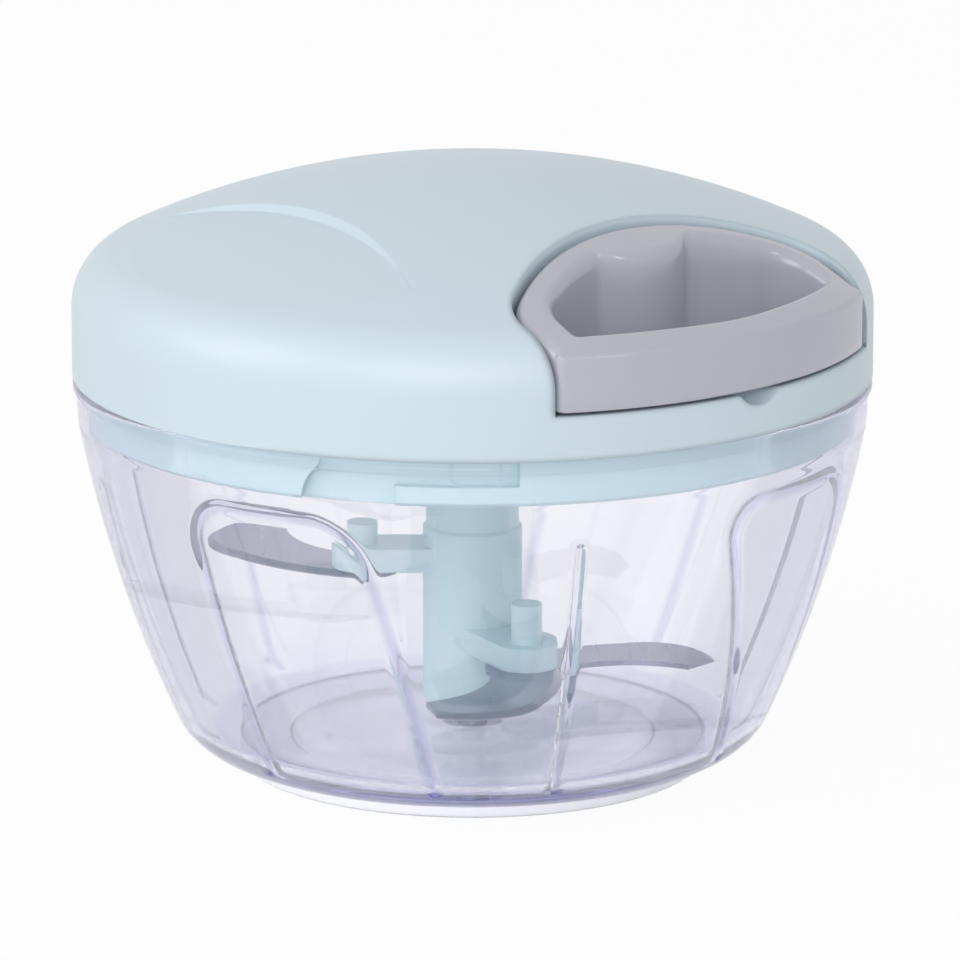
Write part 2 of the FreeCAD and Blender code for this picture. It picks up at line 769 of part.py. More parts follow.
def make_pull_handle():
    owner = body("pull_handle", "pullAngle")
    revolve(owner, [("0", handleBottom), ("lidRadius", handleBottom)]
            + dome_profile("handleCorner", "handleSink", "0"))
    drawing = sketch(owner, "XY_Plane", f"{handleBottom} - {over}")
    disc(drawing, "2 * lidRadius")
    handle_outline(drawing, "0")
    pocket(owner, drawing, "lidRise")
    drawing = sketch(owner, "XY_Plane", f"{handleBottom} - {over}")
    barInner = "(lidRadius - frontBar)"
    mouthSide = "(fingerMouthHalf - fingerMouthRound)"
    mouthOut = f"sqrt({barInner}^2 - {mouthSide}^2)"
    back = f"({handleBack} + fingerWall)"
    outline(drawing, [
        (back, "bossHalf", "-fingerBackArc"),
        ("lidRadius - fingerCornerDepth", "fingerCornerHalf", "-fingerCornerArc"),
        ("lidRadius - fingerSideDepth", "fingerSideHalf"),
        (f"{mouthOut} - fingerMouthRound", "fingerMouthHalf", "-fingerMouthRound"),
        (mouthOut, mouthSide, f"-{barInner}"),
        (mouthOut, f"-{mouthSide}", "-fingerMouthRound"),
        (f"{mouthOut} - fingerMouthRound", "-fingerMouthHalf"),
        ("lidRadius - fingerSideDepth", "-fingerSideHalf", "-fingerCornerArc"),
        ("lidRadius - fingerCornerDepth", "-fingerCornerHalf", "-fingerBackArc"),
        (back, "-bossHalf", "bossArc"),
    ])
    hole = pocket(owner, drawing, "lidRise")
    doc.recompute()
    soft = owner.newObject("PartDesign::Fillet", owner.Label + "Round")
    soft.Base = (hole, outer_edges(hole.Shape))
    tie(soft, Radius="handleRound")
    drawing = sketch(owner, "XY_Plane", f"{handleBottom} - {over}")
    disc(drawing, "knotPocket", knotPlace)
    pocket(owner, drawing, f"{stringHeight} + knotHeadroom - {handleBottom} + {over}")
    drawing = sketch(owner, "YZ_Plane", f"{recessBack} - {over}")
    disc(drawing, "stringHole", "0", stringHeight)
    pocket(owner, drawing, f"{knotPlace} - {recessBack} + {over}")
    return owner


def make_knot_plug():
    owner = body("knot_plug", "pullAngle")
    drawing = sketch(owner, "XY_Plane", handleBottom)
    disc(drawing, "knotPocket", knotPlace)
    pad(owner, drawing, "plugHeight")
    return owner


def make_string_knot():
    return add("Part::Sphere", "string_knot",
               Radius="knotRadius",
               Placement_Base_x=f"{knotPlace} * cos(pullAngle {deg})",
               Placement_Base_y=f"{knotPlace} * sin(pullAngle {deg})",
               Placement_Base_z=stringHeight)


# Reel

def hexagon(drawing, flats):
    reach = f"({flats}) / sqrt(3)"
    half = f"({flats}) / 2"
    outline(drawing, [
        (reach, "0"),
        (f"{reach} / 2", half),
        (f"-{reach} / 2", half),
        (f"-{reach}", "0"),
        (f"-{reach} / 2", f"-{half}"),
        (f"{reach} / 2", f"-{half}"),
    ])


def make_reel():
    owner = turned_piece("reel", [
        ("stemFlats / 2", socketTop),
        ("bushInner - hubClearance", socketTop),
        ("bushInner - hubClearance", webUnder),
        ("reelRadius - reelWall", webUnder),
        ("reelRadius - reelWall", cupBottom),
        ("reelRadius", cupBottom),
        ("reelRadius", webTop),
        ("drumRadius", webTop),
        ("drumRadius", drumTop),
        ("flangeRadius", drumTop),
        ("flangeRadius", reelTop),
        ("stemFlats / 2", reelTop),
    ])
    drawing = sketch(owner, "XY_Plane", f"{socketTop} - {over}")
    hexagon(drawing, "stemFlats + 2 * stemGap")
    pocket(owner, drawing, "lidRise")
    return owner


def make_spring_cover():
    return turned_piece("spring_cover", [
        ("coverInner", f"{cupBottom} - coverThickness"),
        ("reelRadius", f"{cupBottom} - coverThickness"),
        ("reelRadius", cupBottom),
        ("coverInner", cupBottom),
    ])


def make_clock_spring():
    # Flat spiral of half turns, whose centres change sides and whose radius grows by half a pitch.
    pitch = number("springPitch")
    edges = []
    borders = []
    for start in (number("springInner"), number("springInner + springThickness")):
        radius = start
        centre = 0.0
        side = 1
        ends = [Vector(centre + radius, 0, 0)]
        for half in range(2 * int(number("springTurnCount"))):
            crown = Vector(centre, side * radius, 0)
            stop = Vector(centre - side * radius, 0, 0)
            edges.append(Part.Arc(ends[-1], crown, stop).toShape())
            ends.append(stop)
            radius += pitch / 2
            centre += side * pitch / 2
            side = -side
        borders.append(ends)
    for i in (0, -1):
        edges.append(Part.LineSegment(borders[0][i], borders[1][i]).toShape())
    face = Part.Face(Part.Wire(Part.__sortEdges__(edges)))
    low = number(f"{cupBottom} + springGap")
    high = number(f"{webUnder} - springGap")
    thing = add("Part::Feature", "clock_spring")
    thing.Shape = face.extrude(Vector(0, 0, high - low))
    thing.Placement = Placement(Vector(0, 0, low), Rotation())
    return thing


def make_string_coil():
    low = f"({webTop} + woundGap)"
    high = f"({drumTop} - woundGap)"
    return turned_piece("string_coil", [
        ("drumRadius", low),
        ("woundRadius - woundRound", low),
        ("woundRadius", f"{low} + woundRound"),
        ("woundRadius", f"{high} - woundRound"),
        ("woundRadius - woundRound", high),
        ("drumRadius", high),
    ])


def sector(drawing, inner, outer, half, turn):
    # Ring sector that reaches half an angle to each side of a direction.
    corners = []
    for radius, side, arc in ((outer, "-", outer), (outer, "+", None),
                              (inner, "+", f"-({inner})"), (inner, "-", None)):
        angle = f"(({turn}) {side} {half}) {deg}"
        corner = (f"({radius}) * cos({angle})", f"({radius}) * sin({angle})")
        corners.append(corner + (arc,) if arc else corner)
    outline(drawing, corners)


def make_drive_socket():
    owner = turned_piece("drive_socket", [
        ("0", socketRoofUnder),
        (socketInner, socketRoofUnder),
        (socketInner, f"{socketTop} - socketDepth"),
        (socketRadius, f"{socketTop} - socketDepth"),
        (socketRadius, socketTop),
        ("0", socketTop),
    ])
    drawing = sketch(owner, "XY_Plane", socketTop)
    hexagon(drawing, "stemFlats")
    pad(owner, drawing, f"{reelTop} - stemShort - {socketTop}")
    drawing = sketch(owner, "XY_Plane", f"{columnTop} + dogGap")
    for turn in ("90", "270"):
        sector(drawing, "dogCore + dogGap", f"{socketInner} + dogRoot", "socketDogHalf", turn)
    pad(owner, drawing, f"{socketRoofUnder} - {columnTop} - dogGap")
    drawing = sketch(owner, "XY_Plane", f"{reelTop} + washerThickness - reelScrewLength")
    disc(drawing, "reelScrewRadius")
    pocket(owner, drawing, "lidRise")
    return owner


def make_reel_screw():
    seat = f"({reelTop} + washerThickness)"
    return turned_piece("reel_screw", [
        ("0", f"{seat} - reelScrewLength"),
        ("reelScrewRadius", f"{seat} - reelScrewLength"),
        ("reelScrewRadius", seat),
        ("reelScrewHead", seat),
        ("reelScrewHead", f"{seat} + reelScrewEdge"),
        ("reelScrewCrown", f"{seat} + reelScrewHeadHeight"),
        ("0", f"{seat} + reelScrewHeadHeight"),
    ])


def make_reel_washer():
    return turned_piece("reel_washer", [
        ("reelScrewRadius + stemGap", reelTop),
        ("washerRadius", reelTop),
        ("washerRadius", f"{reelTop} + washerThickness"),
        ("reelScrewRadius + stemGap", f"{reelTop} + washerThickness"),
    ])


def make_string_run():
    # Straight from the winding's edge towards the guide, a bend before it, then along the pull.
    reach = number(f"{recessBack} - recessWall - guideFlangeThickness - stringBend")
    winding = number(windingRadius)
    swing = math.acos(winding / reach)
    leave = Vector(winding * math.cos(swing), -winding * math.sin(swing), 0)
    mouth = Vector(reach, 0, 0)
    end = Vector(number(f"{knotPlace} - knotRadius"), 0, 0)
    back = (leave - mouth).normalize()
    trim = number("stringBend")
    first = mouth + back * trim
    last = mouth + Vector(trim, 0, 0)
    radius = trim * math.tan(back.getAngle(Vector(1, 0, 0)) / 2)
    centre = last + Vector(0, -radius, 0)
    crown = centre + (mouth - centre).normalize() * radius
    route = Part.Wire([
        Part.LineSegment(leave, first).toShape(),
        Part.Arc(first, crown, last).toShape(),
        Part.LineSegment(last, end).toShape(),
    ])
    ring = Part.Wire(Part.Circle(leave, back, number("stringRadius")).toShape())
    thing = add("Part::Feature", "string_run")
    thing.Shape = route.makePipeShell([ring], True, False)
    thing.Placement = Placement(Vector(0, 0, number(stringHeight)),
                                Rotation(Vector(0, 0, 1), number("pullAngle")))
    return thing


# Blade unit

def arm_height(name):
    return f"({columnBottom} + {name}Rise)"


def make_blade_column():
    core = turned_piece("columnForm", [
        ("0", f"{bushTop} + dogGap"),
        ("columnBushRadius", f"{bushTop} + dogGap"),
        ("columnBushRadius", columnBottom),
        ("columnRadius - columnEdge", columnBottom),
        ("columnRadius", f"{columnBottom} + columnEdge"),
        ("columnRadius", f"{columnTop} - neckLength - columnEdge"),
        ("columnNeck", f"{columnTop} - neckLength"),
        ("columnNeck", columnTop),
        ("dogCore", columnTop),
        ("dogCore", dogTop),
        ("0", dogTop),
    ])
    drawing = sketch(core, "XY_Plane", columnTop)
    for turn in ("0", "180"):
        sector(drawing, "dogCore / 2", "columnNeck", "columnDogHalf", turn)
    pad(core, drawing, "dogHeight")
    parts = [core]
    for name in ("upper", "middle", "lower"):
        height = arm_height(name)
        owner = body(name + "ArmBlock", name + "Angle")
        drawing = sketch(owner, "XY_Plane", height)
        outline(drawing, [
            ("armRoot", "armWidth / 2"),
            ("armRoot", "-armWidth / 2"),
            ("armReach", "-armWidth / 2", "armWidth / 2"),
            ("armReach + armWidth / 2", "0", "armWidth / 2"),
            ("armReach", "armWidth / 2"),
        ])
        pad(owner, drawing, "armThickness")
        drawing = sketch(owner, "XY_Plane", height)
        disc(drawing, "postPinRadius", "armReach")
        pad(owner, drawing, f"armThickness + {name}Post")
        drawing = sketch(owner, "XY_Plane", f"{height} + armThickness / 2")
        disc(drawing, "stakeRadius", "armReach")
        pad(owner, drawing, "armThickness / 2 + bladeThickness + stakeHeadHeight", True)
        drawing = sketch(owner, "XY_Plane", f"{height} - bladeThickness")
        disc(drawing, "stakeHead", "armReach")
        pad(owner, drawing, "stakeHeadHeight", True)
        parts.append(owner)
    bore = turned_piece("columnBore", [
        ("0", f"{columnBottom} - {over}"),
        ("columnBushRadius", f"{columnBottom} - {over}"),
        ("columnBushRadius", f"{bushTop} + dogGap"),
        ("0", f"{bushTop} + dogGap"),
    ])
    return cut("blade_column", fuse("columnSolids", *parts), bore)


def make_column_bush():
    return turned_piece("column_bush", [
        ("pinRadius + pinClearance", bushBottom),
        ("columnBushRadius", bushBottom),
        ("columnBushRadius", bushTop),
        ("pinRadius + pinClearance", bushTop),
    ])


def make_blade(name):
    # Sickle blade staked under its arm; x runs out along the arm, the cutting edge leads towards +y.
    owner = body(name + "_blade", name + "Angle")
    drawing = sketch(owner, "XY_Plane", f"{arm_height(name)} - bladeThickness")
    grown = f"{name}Growth"
    tip = f"(wallFootRadius - {name}Gap)"
    root = "((rootAhead + rootBehind) / 2)"
    outline(drawing, [
        ("armReach", "rootAhead", f"-edgeArc * {grown}"),
        (f"{tip} + elbowAhead * {grown}", f"-elbowSide * {grown}", f"-tipArc * {grown}"),
        (tip, f"-tipSide * {grown}"),
        (f"{tip} - heelBehind * {grown}", f"-heelSide * {grown}", f"innerArc * {grown}"),
        ("armReach", "-rootBehind", f"-{root}"),
        (f"armReach - {root}", "(rootAhead - rootBehind) / 2", f"-{root}"),
    ])
    disc(drawing, "stakeRadius + stakeGap", "armReach")
    plate = pad(owner, drawing, "bladeThickness")
    doc.recompute()
    top = number(arm_height(name))
    edges = [number(f"{arc} * {grown}") for arc in ("edgeArc", "tipArc")]
    sharp = []
    for i, edge in enumerate(plate.Shape.Edges, 1):
        if not isinstance(edge.Curve, Part.Circle) or abs(edge.BoundBox.ZMin - top) > 1e-6:
            continue
        if min(abs(edge.Curve.Radius - radius) for radius in edges) < 1e-6:
            sharp.append(f"Edge{i}")
    bevel = owner.newObject("PartDesign::Chamfer", owner.Label + "Bevel")
    bevel.Base = (plate, sharp)
    bevel.ChamferType = "Two distances"
    bevel.FlipDirection = True
    tie(bevel, Size="bladeBevel", Size2="bladeBevelDepth")
    return owner


pieces = [
    make_bowl(), make_base_pad(), make_spindle_pin(),
    make_lid_shell(), make_lid_base(), make_lid_seal(), make_lid_screws(),
    make_string_guide(), make_axle_bush(),
    make_pull_handle(), make_knot_plug(), make_string_knot(),
    make_reel(), make_spring_cover(), make_clock_spring(), make_string_coil(),
    make_drive_socket(), make_reel_screw(), make_reel_washer(), make_string_run(),
    make_blade_column(), make_column_bush(),
    make_blade("upper"), make_blade("middle"), make_blade("lower"),
]
doc.recompute()

broken = [o.Label for o in doc.Objects if "Invalid" in o.State or "Error" in o.State]
for piece in pieces:
    if piece.Shape.isNull() or not piece.Shape.isValid():
        broken.append(piece.Label + " shape")
if broken:
    raise SystemExit("failed: " + ", ".join(broken))

os.makedirs("parts", exist_ok=True)
for piece in pieces:
    piece.Shape.exportStep(f"parts/{piece.Label}.step")
    box = piece.Shape.BoundBox
    print(f"{piece.Label:14} solids {len(piece.Shape.Solids)} volume {piece.Shape.Volume:9.1f}"
          f"  z {box.ZMin:6.2f} to {box.ZMax:6.2f}")
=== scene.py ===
import bmesh
import bpy
import math
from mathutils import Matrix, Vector


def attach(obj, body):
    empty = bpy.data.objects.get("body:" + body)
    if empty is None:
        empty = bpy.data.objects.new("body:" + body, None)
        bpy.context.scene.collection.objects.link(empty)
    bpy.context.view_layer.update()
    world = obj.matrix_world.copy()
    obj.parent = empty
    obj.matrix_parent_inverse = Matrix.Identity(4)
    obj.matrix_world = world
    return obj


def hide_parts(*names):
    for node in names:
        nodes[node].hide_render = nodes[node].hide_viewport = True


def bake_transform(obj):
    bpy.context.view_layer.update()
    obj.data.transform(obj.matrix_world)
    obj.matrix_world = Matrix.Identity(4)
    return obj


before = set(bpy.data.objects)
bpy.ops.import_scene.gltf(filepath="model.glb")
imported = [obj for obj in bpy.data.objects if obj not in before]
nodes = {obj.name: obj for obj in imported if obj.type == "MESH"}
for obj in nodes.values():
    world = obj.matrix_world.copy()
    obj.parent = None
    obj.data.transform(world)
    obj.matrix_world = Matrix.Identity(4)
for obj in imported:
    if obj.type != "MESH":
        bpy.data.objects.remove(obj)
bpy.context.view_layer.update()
mm = 0.001
pullAngle = math.radians(-46.0)  # the way the handle pulls out, from +X
pullWay = Vector((math.cos(pullAngle), math.sin(pullAngle), 0))


# Small helpers for colours and nodes

def linear(hexColour):
    # sRGB hex to linear RGBA
    parts = [int(hexColour[i:i + 2], 16) / 255 for i in (1, 3, 5)]
    return [c / 12.92 if c <= 0.04045 else ((c + 0.055) / 1.055) ** 2.4 for c in parts] + [1.0]


def addNode(tree, kind, settings=None, links=None):
    node = tree.nodes.new("ShaderNode" + kind)
    for name, value in (settings or {}).items():
        if isinstance(name, int) or name in node.inputs:
            node.inputs[name].default_value = value
        else:
            setattr(node, name, value)
    for name, source in (links or {}).items():
        tree.links.new(source, node.inputs[name])
    return node


def newMaterial(name):
    material = bpy.data.materials.new(name)
    material.use_nodes = True
    tree = material.node_tree
    tree.nodes.clear()
    return material, tree


def finishMaterial(tree, shader, volume=None):
    output = addNode(tree, "OutputMaterial", links={"Surface": shader.outputs[0]})
    if volume:
        tree.links.new(volume.outputs[0], output.inputs["Volume"])


def rampBetween(tree, source, low, high, fromLow=0.0, fromHigh=1.0):
    # Stretches a 0 to 1 pattern to a small range of values
    node = addNode(tree, "MapRange",
                   {"From Min": fromLow, "From Max": fromHigh, "To Min": low, "To Max": high},
                   {"Value": source})
    return node.outputs["Result"]


# Materials

def mouldedPlastic(name, look):
    # ABS or acetal moulded in an etched steel tool: an even colour, a fine satin grain, soft edges
    material, tree = newMaterial(name)
    place = addNode(tree, "TexCoord")
    cloud = addNode(tree, "TexNoise", {"Scale": 1 / (look["cloud"] * mm), "Detail": 2.0},
                    {"Vector": place.outputs["Object"]})
    tint = addNode(tree, "Mix", {"data_type": "RGBA", 6: linear(look["colour"]), 7: linear(look["tone"])},
                   {0: cloud.outputs["Fac"]})
    grain = addNode(tree, "TexNoise", {"Scale": 1 / (look["grain"] * mm), "Detail": 3.0, "Roughness": 0.6},
                    {"Vector": place.outputs["Object"]})
    rough = rampBetween(tree, grain.outputs["Fac"], look["rough"] - 0.025, look["rough"] + 0.025, 0.3, 0.7)
    edge = addNode(tree, "Bevel", {"samples": 6, "Radius": look["edge"] * mm})
    if "recessEdge" in look:
        # Edges grow rounder towards the handle's recess
        pull = addNode(tree, "VectorMath", {"operation": "DOT_PRODUCT", 1: pullWay},
                       {0: place.outputs["Object"]})
        start, end = look["recessSpan"]
        radius = rampBetween(tree, pull.outputs["Value"], look["edge"] * mm, look["recessEdge"] * mm,
                             start * mm, end * mm)
        tree.links.new(radius, edge.inputs["Radius"])
    bump = addNode(tree, "Bump", {"Strength": look["bump"], "Distance": 0.05 * mm},
                   {"Height": grain.outputs["Fac"], "Normal": edge.outputs[0]})
    shader = addNode(tree, "BsdfPrincipled",
                     {"IOR": 1.54, "Specular IOR Level": look["shine"], "Subsurface Weight": look["depth"],
                      "Subsurface Radius": (1.0, 1.0, 1.0), "Subsurface Scale": 1.0 * mm},
                     {"Base Color": tint.outputs[2], "Roughness": rough, "Normal": bump.outputs[0]})
    finishMaterial(tree, shader)
    return material


def clearPlastic(name, look):
    # Clear SAN from a polished tool: sharp reflections, lavender where it is thick or seen edge on
    material, tree = newMaterial(name)
    place = addNode(tree, "TexCoord")
    flow = addNode(tree, "TexNoise", {"Scale": 1 / (look["flow"] * mm), "Detail": 1.0},
                   {"Vector": place.outputs["Object"]})
    bump = addNode(tree, "Bump", {"Strength": look["bump"], "Distance": 0.2 * mm},
                   {"Height": flow.outputs["Fac"]})
    slant = addNode(tree, "LayerWeight", {"Blend": 0.35})
    side = addNode(tree, "Mix", {"data_type": "RGBA", 6: linear(look["colour"]), 7: linear(look["slant"])},
                   {0: slant.outputs["Facing"]})
    parts = addNode(tree, "SeparateXYZ", links={"Vector": place.outputs["Object"]})
    curve = rampBetween(tree, parts.outputs["Z"], look["curveTint"], 0.0,
                        look["curveSpan"][0] * mm, look["curveSpan"][1] * mm)
    floor = rampBetween(tree, parts.outputs["Z"], 1 - look["curveTint"], 0.0,
                        look["floorSpan"][0] * mm, look["floorSpan"][1] * mm)
    low = addNode(tree, "Math", {"operation": "ADD"}, {0: curve, 1: floor})
    lower = addNode(tree, "Mix", {"data_type": "RGBA", 7: linear(look["foot"])},
                    {0: low.outputs[0], 6: side.outputs[2]})
    # The tint mark: thicker plastic, and painted shade on the lugs' slopes
    thickTintAndSlopeShade = addNode(tree, "Attribute", {"attribute_name": "thickTintAndSlopeShade"})
    tint = addNode(tree, "Mix", {"data_type": "RGBA", 7: linear(look["thickTintAndSlopeShade"])},
                   {0: thickTintAndSlopeShade.outputs["Fac"], 6: lower.outputs[2]})
    # Shadow and diffuse rays pass it as thin plastic, so the light inside the bowl stays bright
    rays = addNode(tree, "LightPath")
    soft = addNode(tree, "Math", {"operation": "MAXIMUM"},
                   {0: rays.outputs["Is Shadow Ray"], 1: rays.outputs["Is Diffuse Ray"]})
    solid = rampBetween(tree, soft.outputs[0], look["solid"], look["shade"])
    shader = addNode(tree, "BsdfPrincipled",
                     {"IOR": look["bend"], "Transmission Weight": 1.0, "Roughness": look["rough"],
                      "Specular IOR Level": 0.8},
                     {"Base Color": tint.outputs[2], "Alpha": solid, "Normal": bump.outputs[0]})
    cast = addNode(tree, "VolumeAbsorption", {"Color": look["cast"], "Density": look["density"]})
    finishMaterial(tree, shader, cast)
    return material


def groundSteel(name, look):
    # Stamped or rolled steel, ground or drawn: faint lines one way in its gloss
    material, tree = newMaterial(name)
    place = addNode(tree, "TexCoord")
    stretch = addNode(tree, "Mapping", {"Scale": (1.0, 0.06, 1.0)}, {"Vector": place.outputs["Object"]})
    lines = addNode(tree, "TexNoise", {"Scale": 1 / (look["grit"] * mm), "Detail": 2.0, "Roughness": 0.5},
                    {"Vector": stretch.outputs[0]})
    rough = rampBetween(tree, lines.outputs["Fac"], look["rough"] - 0.008, look["rough"] + 0.008, 0.3, 0.7)
    tint = addNode(tree, "Mix", {"data_type": "RGBA", 6: linear(look["colour"]), 7: linear(look["tone"])},
                   {0: lines.outputs["Fac"]})
    shader = addNode(tree, "BsdfPrincipled", {"Metallic": 1.0},
                     {"Base Color": tint.outputs[2], "Roughness": rough})
    finishMaterial(tree, shader)
    return material


def castSilicone(name, look):
    # Translucent silicone rubber: milky and soft, light spreads inside it and some passes through
    material, tree = newMaterial(name)
    place = addNode(tree, "TexCoord")
    cloud = addNode(tree, "TexNoise", {"Scale": 1 / (look["cloud"] * mm), "Detail": 2.0},
                    {"Vector": place.outputs["Object"]})
    tint = addNode(tree, "Mix", {"data_type": "RGBA", 6: linear(look["colour"]), 7: linear(look["tone"])},
                   {0: cloud.outputs["Fac"]})
    rough = rampBetween(tree, cloud.outputs["Fac"], look["rough"] - 0.05, look["rough"] + 0.05)
    shader = addNode(tree, "BsdfPrincipled",
                     {"IOR": 1.41, "Subsurface Weight": look["depth"], "Subsurface Radius": (1.0, 1.0, 1.0),
                      "Subsurface Scale": 2.0 * mm, "Transmission Weight": look["clear"]},
                     {"Base Color": tint.outputs[2], "Roughness": rough})
    if "sideSpan" in look:
        # The side scatters more than the smooth faces above and below
        flat = addNode(tree, "VectorMath", {"operation": "MULTIPLY", 1: (1.0, 1.0, 0.0)},
                       {0: place.outputs["Object"]})
        out = addNode(tree, "VectorMath", {"operation": "LENGTH"}, {0: flat.outputs[0]})
        start, end = look["sideSpan"]
        clear = rampBetween(tree, out.outputs["Value"], look["clear"], look["clearSide"],
                            start * mm, end * mm)
        tree.links.new(clear, shader.inputs["Transmission Weight"])
    finishMaterial(tree, shader)
    return material


def twistedCord(name, look):
    # Twisted nylon cord: small slanting strands
    material, tree = newMaterial(name)
    place = addNode(tree, "TexCoord")
    strands = addNode(tree, "TexWave",
                      {"Scale": 1 / (look["strand"] * mm * 2 * math.pi), "Distortion": 0.5},
                      {"Vector": place.outputs["Object"]})
    tint = addNode(tree, "Mix", {"data_type": "RGBA", 6: linear(look["colour"]), 7: linear(look["tone"])},
                   {0: strands.outputs["Fac"]})
    bump = addNode(tree, "Bump", {"Strength": 0.6, "Distance": 0.2 * mm},
                   {"Height": strands.outputs["Fac"]})
    shader = addNode(tree, "BsdfPrincipled", {"Roughness": 0.6, "IOR": 1.53},
                     {"Base Color": tint.outputs[2], "Normal": bump.outputs[0]})
    finishMaterial(tree, shader)
    return material


lidAbs = mouldedPlastic("paleBlueAbs", {
    "colour": "#C2D1D9", "tone": "#BECED7", "rough": 0.4, "grain": 0.22, "cloud": 40, "bump": 0.04,
    "edge": 0.35, "recessEdge": 1.8, "recessSpan": (12, 24), "shine": 0.6, "depth": 0.05})
# A lighter copy of the lid's pale blue ABS for the parts inside the bowl: painted light that makes up for
# the light the bowl keeps from them
insideAbsPaintedLighter = mouldedPlastic("paleBlueAbsPaintedLighter", {
    "colour": "#CDE4E8", "tone": "#C9E1E6", "rough": 0.36, "grain": 0.22, "cloud": 40, "bump": 0.03,
    "edge": 0.3, "shine": 0.6, "depth": 0.05})
handleAbs = mouldedPlastic("greyAbs", {
    "colour": "#AFAFBA", "tone": "#ABABB6", "rough": 0.22, "grain": 0.5, "cloud": 30, "bump": 0.01,
    "edge": 0.2, "shine": 0.7, "depth": 0.03})
acetal = mouldedPlastic("whiteAcetal", {
    "colour": "#E8E8E4", "tone": "#E2E2DD", "rough": 0.35, "grain": 0.3, "cloud": 20, "bump": 0.06,
    "edge": 0.2, "shine": 0.5, "depth": 0.1})
bowlSan = clearPlastic("clearSan", {
    "colour": "#FEFEFF", "slant": "#DEDEEE", "foot": "#F7F9FF", "thickTintAndSlopeShade": "#A39DD6",
    "curveTint": 0.6, "curveSpan": (9.5, 11.5), "floorSpan": (6.4, 6.9),
    "rough": 0.0, "flow": 14, "bump": 0.02, "solid": 0.85, "shade": 0.12, "bend": 1.3,
    "cast": (0.46, 0.44, 0.86, 1.0), "density": 21.0})
# Painted shade: the blades' base colour is darker and more lavender than bare stainless steel, for their
# place inside the tinted bowl
bladeSteelPaintedDark = groundSteel("groundStainlessPaintedDark", {
    "colour": "#8C8EA2", "tone": "#8B8DA1", "rough": 0.28, "grit": 0.9})
screwSteel = groundSteel("zincPlatedSteel", {
    "colour": "#C4C6C8", "tone": "#B4B6B9", "rough": 0.35, "grit": 0.4})
springSteel = groundSteel("blueTemperedSteel", {
    "colour": "#5C6678", "tone": "#4A5262", "rough": 0.3, "grit": 0.3})
padSilicone = castSilicone("footSilicone", {
    "colour": "#FCFCFD", "tone": "#F8F8FB", "rough": 0.15, "cloud": 8, "depth": 0.4,
    "clear": 0.96, "clearSide": 0.0, "sideSpan": (37.6, 38.2)})
sealSilicone = castSilicone("sealSilicone", {
    "colour": "#DDE3E8", "tone": "#D4DBE1", "rough": 0.5, "cloud": 8, "depth": 0.4,
    "clear": 0.1})
cordNylon = twistedCord("twistedNylon", {"colour": "#DADADF", "tone": "#B9B9C2", "strand": 0.6})
print("materials made")

finishes = {
    "bowl": bowlSan, "base_pad": padSilicone, "spindle_pin": screwSteel,
    "lid_shell": lidAbs, "lid_base": insideAbsPaintedLighter, "lid_seal": sealSilicone, "lid_screws": screwSteel,
    "string_guide": acetal, "axle_bush": acetal, "string_run": cordNylon,
    "pull_handle": handleAbs, "knot_plug": handleAbs, "string_knot": cordNylon,
    "reel": acetal, "spring_cover": acetal, "clock_spring": springSteel, "string_coil": cordNylon,
    "drive_socket": acetal, "reel_screw": screwSteel, "reel_washer": screwSteel,
    "blade_column": insideAbsPaintedLighter, "column_bush": acetal,
    "upper_blade": bladeSteelPaintedDark, "middle_blade": bladeSteelPaintedDark, "lower_blade": bladeSteelPaintedDark,
}
for name, material in finishes.items():
    nodes[name].data.materials.clear()
    nodes[name].data.materials.append(material)

# Shapes turned or swept here, in millimetres until the mesh is made

def arcPoints(a, b, radius, count):
    # Points after a up to b; a positive radius has its centre on the left of the way
    ax, ay = a
    bx, by = b
    length = math.hypot(bx - ax, by - ay)
    side = 1 if radius > 0 else -1
    lift = math.sqrt(max(radius ** 2 - length ** 2 / 4, 0))
    cx = (ax + bx) / 2 - (by - ay) / length * side * lift
    cy = (ay + by) / 2 + (bx - ax) / length * side * lift
    start = math.atan2(ay - cy, ax - cx)
    turn = math.atan2(by - cy, bx - cx) - start
    while turn * side < 0:
        turn += side * 2 * math.pi
    return [(cx + abs(radius) * math.cos(start + turn * i / count),
             cy + abs(radius) * math.sin(start + turn * i / count)) for i in range(1, count + 1)]


def profilePoints(corners):
    # Corners are (radius, height), with an arc's radius and its number of steps where one follows
    points = [corners[0][:2]]
    for here, after in zip(corners, corners[1:]):
        if len(here) == 2:
            points.append(after[:2])
        elif here[2] == 0:
            points += [(here[0] + (after[0] - here[0]) * i / here[3],
                        here[1] + (after[1] - here[1]) * i / here[3]) for i in range(1, here[3] + 1)]
        else:
            points += arcPoints(here[:2], after[:2], here[2], here[3])
    return points


def turnedPiece(name, profile, columns, push=None):
    # Spins a profile round the upright axis; push moves a point in or out and gives its tint mark there:
    # how thick the plastic is, and painted shade on the lugs' slopes
    form = bmesh.new()
    mark = form.verts.layers.float.new("thickTintAndSlopeShade")
    rings = []
    for radius, height in profile:
        if radius < 1e-6:
            rings.append([form.verts.new((0, 0, height * mm))])
            continue
        ring = []
        for i in range(columns):
            angle = 2 * math.pi * i / columns
            out, thickTintAndSlopeShade = push(radius, angle, height) if push else (0, 0)
            out += radius
            spot = Vector((out * math.cos(angle), out * math.sin(angle), height))
            ring.append(form.verts.new(spot * mm))
            ring[-1][mark] = thickTintAndSlopeShade
        rings.append(ring)
    for low, high in zip(rings, rings[1:]):
        for i in range(columns):
            j = (i + 1) % columns
            if len(low) == 1:
                form.faces.new((low[0], high[j], high[i]))
            elif len(high) == 1:
                form.faces.new((low[i], low[j], high[0]))
            else:
                form.faces.new((low[i], low[j], high[j], high[i]))
    return meshPiece(name, form)


